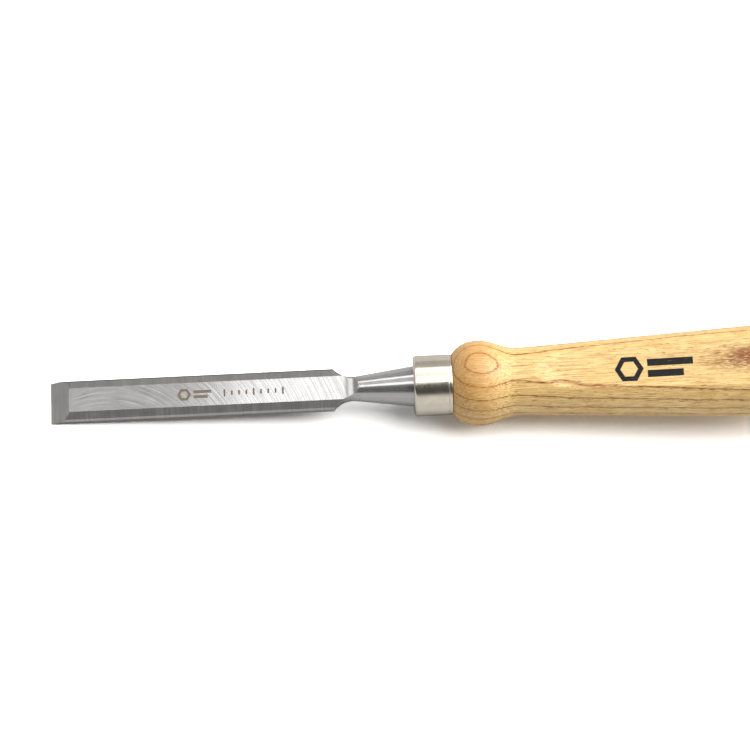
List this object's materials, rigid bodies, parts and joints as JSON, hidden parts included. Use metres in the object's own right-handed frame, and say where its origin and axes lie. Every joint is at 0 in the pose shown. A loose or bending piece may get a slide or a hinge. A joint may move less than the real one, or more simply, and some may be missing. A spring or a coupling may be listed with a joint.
{
  "type": "woodworking chisel",
  "caption": "Bevel-edged wood chisel: flat ground blade, conical bolster, plated ferrule, and a bulbed wooden handle with two broad flats and a hooped butt.",
  "frame": {"origin": "middle of the cutting edge, on the flat back of the blade", "axes": "+X from the cutting edge along the flat back to the butt, +Z out of the bevelled side, +Y to the blade's right side, as the user sees it along the chisel from the butt with the bevels up"},
  "size_m": [0.2674, 0.0304, 0.0282],
  "materials": {
    "blade_steel": "ground tool steel with fine grinding lines, satin neck",
    "washer_leather": "plain vegetable-tanned",
    "ferrule_nickel": "bright nickel plate, slightly warm",
    "handle_ash": "pale ash, clear lacquer",
    "hoop_steel": "turned steel"
  },
  "bodies": {
    "root": {"blade": "blade_steel", "shock_washer": "washer_leather", "ferrule": "ferrule_nickel", "handle": "handle_ash", "striking_hoop": "hoop_steel"}
  },
  "joints": []
}
